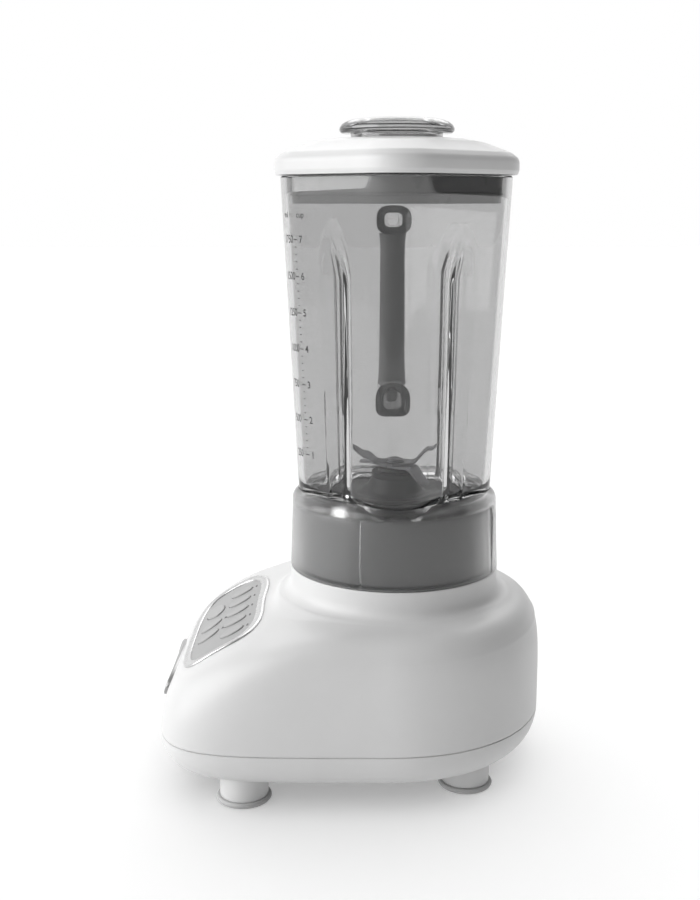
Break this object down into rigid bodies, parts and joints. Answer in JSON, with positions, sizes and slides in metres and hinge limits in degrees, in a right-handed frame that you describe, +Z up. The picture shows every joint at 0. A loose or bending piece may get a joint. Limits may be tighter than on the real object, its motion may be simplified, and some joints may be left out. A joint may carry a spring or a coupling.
{
  "type": "countertop blender",
  "caption": "Countertop blender with a motor base and sloping key panel, a clear handled jar, bladed agitator, lid and filler cap.",
  "frame": {"origin": "middle of the footprint at table level; the drive axis stands at x = 10.5 mm, y = 27 mm", "axes": "+Z up, -Y the front with the key panel, the jar handle towards -X"},
  "size_m": [0.231, 0.2487, 0.419],
  "materials": {
    "white_housing": "satin, fine moulded texture",
    "white_lid": "satin",
    "foot_rubber": "matte",
    "silver_trim": "satin metallised",
    "panel_grey": "matte",
    "key_grey": "matte soft touch",
    "indicator": "gloss",
    "badge_grey": "satin metallised",
    "dark_rubber": "matte",
    "lamination_steel": "matte",
    "copper_winding": "enamelled",
    "plated_steel": "zinc plated",
    "bearing_steel": "ground",
    "brass_holder": "drawn",
    "carbon": "matte",
    "board_green": "solder mask",
    "black_plastic": "matte",
    "coupler_black": "matte",
    "clear_jar": "clear gloss",
    "grip_grey": "matte",
    "frosted_collar": "clear gloss",
    "dark_plastic": "matte",
    "bronze": "sintered",
    "blade_steel": "ground",
    "seal_grey": "matte",
    "smoke_cap": "smoky clear gloss"
  },
  "bodies": {
    "base": {"upper_housing": "white_housing", "bottom_cover": "white_housing", "foot_posts": "white_housing", "front_left_foot": "foot_rubber", "front_right_foot": "foot_rubber", "rear_left_foot": "foot_rubber", "rear_right_foot": "foot_rubber", "panel_bezel": "silver_trim", "panel_plate": "panel_grey", "indicator_lenses": "indicator", "front_badge": "badge_grey", "seat_pad": "dark_rubber", "stator_core": "lamination_steel", "field_coils": "copper_winding", "lower_bracket": "plated_steel", "upper_bracket": "plated_steel", "lower_bearing": "bearing_steel", "upper_bearing": "bearing_steel", "brush_holders": "brass_holder", "carbon_brushes": "carbon", "brush_springs": "plated_steel", "motor_grommets": "dark_rubber", "motor_screws": "plated_steel", "control_board": "board_green", "board_switches": "black_plastic", "board_screws": "plated_steel", "cover_screws": "plated_steel", "cord_gland": "black_plastic"},
    "rotor": {"motor_shaft": "bearing_steel", "armature_core": "lamination_steel", "armature_windings": "copper_winding", "commutator": "brass_holder", "cooling_fan": "black_plastic", "drive_coupler": "coupler_black"},
    "jar_assembly": {"jar": "clear_jar", "handle_grip": "grip_grey", "collar": "frosted_collar", "collar_core": "dark_plastic", "jar_gasket": "dark_rubber", "blade_carrier": "dark_plastic", "blade_bushes": "bronze", "shaft_seal": "dark_rubber"},
    "blade_assembly": {"blade_shaft": "blade_steel", "upper_blade": "blade_steel", "lower_blade": "blade_steel", "blade_washer": "blade_steel", "cap_nut": "blade_steel", "jar_coupler": "coupler_black"},
    "lid_assembly": {"lid": "white_lid", "lid_seal": "seal_grey"},
    "cap": {"filler_cap": "smoke_cap"},
    "speed_key_1": {"speed_key_1": "key_grey"},
    "speed_key_2": {"speed_key_2": "key_grey"},
    "speed_key_3": {"speed_key_3": "key_grey"},
    "speed_key_4": {"speed_key_4": "key_grey"},
    "speed_key_5": {"speed_key_5": "key_grey"},
    "pulse_key": {"pulse_key": "key_grey"},
    "ice_key": {"ice_key": "key_grey"},
    "power_key": {"power_key": "key_grey"}
  },
  "joints": [
    {"name": "motor_spin", "type": "hinge", "parent": "base", "child": "rotor", "pos_m": [0.0105, 0.027, 0.1], "axis": [0, 0, 1], "continuous": true},
    {"name": "jar_lift", "type": "slide", "parent": "base", "child": "jar_assembly", "axis": [0, 0, 1], "range_m": [0, 0.06]},
    {"name": "blade_spin", "type": "hinge", "parent": "jar_assembly", "child": "blade_assembly", "pos_m": [0.0105, 0.027, 0.18], "axis": [0, 0, 1], "continuous": true},
    {"name": "lid_lift", "type": "slide", "parent": "jar_assembly", "child": "lid_assembly", "axis": [0, 0, 1], "range_m": [0, 0.045]},
    {"name": "cap_lift", "type": "slide", "parent": "lid_assembly", "child": "cap", "axis": [0, 0, 1], "range_m": [0, 0.045]},
    {"name": "speed_key_1_press", "type": "slide", "parent": "base", "child": "speed_key_1", "axis": [0, 0.506, -0.8625], "range_m": [0, 0.0008], "stiffness_N_per_m": 500},
    {"name": "speed_key_2_press", "type": "slide", "parent": "base", "child": "speed_key_2", "axis": [0, 0.506, -0.8625], "range_m": [0, 0.0008], "stiffness_N_per_m": 500},
    {"name": "speed_key_3_press", "type": "slide", "parent": "base", "child": "speed_key_3", "axis": [0, 0.506, -0.8625], "range_m": [0, 0.0008], "stiffness_N_per_m": 500},
    {"name": "speed_key_4_press", "type": "slide", "parent": "base", "child": "speed_key_4", "axis": [0, 0.506, -0.8625], "range_m": [0, 0.0008], "stiffness_N_per_m": 500},
    {"name": "speed_key_5_press", "type": "slide", "parent": "base", "child": "speed_key_5", "axis": [0, 0.506, -0.8625], "range_m": [0, 0.0008], "stiffness_N_per_m": 500},
    {"name": "pulse_key_press", "type": "slide", "parent": "base", "child": "pulse_key", "axis": [0, 0.506, -0.8625], "range_m": [0, 0.0008], "stiffness_N_per_m": 500},
    {"name": "ice_key_press", "type": "slide", "parent": "base", "child": "ice_key", "axis": [0, 0.506, -0.8625], "range_m": [0, 0.0008], "stiffness_N_per_m": 500},
    {"name": "power_key_press", "type": "slide", "parent": "base", "child": "power_key", "axis": [0, 0.506, -0.8625], "range_m": [0, 0.0008], "stiffness_N_per_m": 500}
  ],
  "couplings": [
    {"joint": "blade_spin", "follows": "motor_spin", "ratio": 1}
  ]
}
